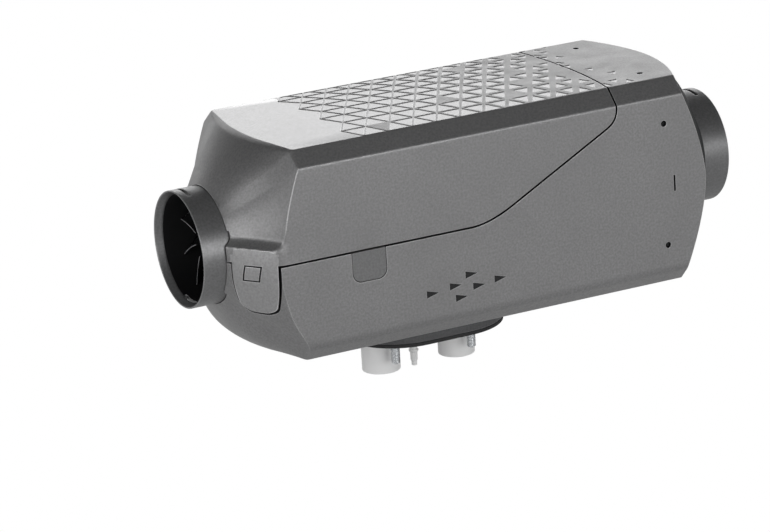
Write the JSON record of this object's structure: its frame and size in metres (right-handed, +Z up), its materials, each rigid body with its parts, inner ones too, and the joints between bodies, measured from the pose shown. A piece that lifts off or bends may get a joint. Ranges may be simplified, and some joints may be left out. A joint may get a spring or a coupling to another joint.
{
  "type": "diesel air heater",
  "caption": "Fuel-fired air heater: moulded two-part casing with round air spigots at both ends, a fan, finned exchanger and a foot with intake and exhaust stubs.",
  "frame": {"origin": "centre of the foot's mounting face, the underside of its seal", "axes": "+X along the fan axis with the air, from the inlet to the outlet; +Z up, away from the mounting face; -Y is the side with the blanking plug"},
  "size_m": [0.3795, 0.1374, 0.1749],
  "materials": {
    "casing": "fine-grained dark grey moulding with a slight gloss",
    "dark_plastic": "satin near-black moulding",
    "plug_rubber": "matt moulded rubber",
    "cast_aluminium": "as-cast aluminium with machined faces",
    "gasket": "dark fibre and rubber sealing sheet",
    "ferrite": "dull dark ferrite",
    "bright_tube": "bright drawn tube",
    "zinc": "zinc-plated steel",
    "burner_steel": "heat-tinted sheet steel",
    "copper": "varnished copper winding and laminations",
    "blade_plastic": "smooth black moulding",
    "lead_sheath": "smooth black cable sheath"
  },
  "bodies": {
    "heater": {"lower_shell": "casing", "outlet_hood": "dark_plastic", "inlet_spigot": "dark_plastic", "outlet_spigot": "dark_plastic", "blanking_plug": "plug_rubber", "cable_grommet": "plug_rubber", "combustion_air_stub": "bright_tube", "exhaust_stub": "bright_tube", "mounting_stud_1": "zinc", "mounting_stud_2": "zinc", "mounting_stud_3": "zinc", "mounting_stud_4": "zinc", "foot_seal": "gasket", "fuel_pipe": "zinc", "motor_can": "zinc", "field_magnet_1": "ferrite", "field_magnet_2": "ferrite", "front_bearing": "zinc", "rear_bearing": "zinc", "blower_housing": "cast_aluminium", "blower_plate": "burner_steel", "burner_gasket": "gasket", "flange_screw_1": "zinc", "flange_screw_2": "zinc", "flange_screw_3": "zinc", "flange_screw_4": "zinc", "heat_exchanger": "cast_aluminium", "combustion_chamber": "burner_steel", "flame_tube": "burner_steel", "glow_plug": "zinc", "overheat_sensor": "burner_steel", "control_unit": "dark_plastic", "control_unit_lid": "cast_aluminium", "glow_plug_connector": "blade_plastic", "sensor_connector": "blade_plastic", "glow_plug_lead": "lead_sheath", "sensor_lead": "lead_sheath"},
    "rotor": {"hot_air_impeller": "blade_plastic", "motor_shaft": "zinc", "motor_armature": "copper", "motor_commutator": "copper", "combustion_air_wheel": "cast_aluminium"},
    "cover": {"upper_cover": "casing"}
  },
  "joints": [
    {"name": "rotor_spin", "type": "hinge", "parent": "heater", "child": "rotor", "pos_m": [-0.09, 0, 0.0802], "axis": [1, 0, 0], "continuous": true},
    {"name": "cover_lift", "type": "slide", "parent": "heater", "child": "cover", "axis": [0, 0, 1], "range_m": [0, 0.12]}
  ]
}
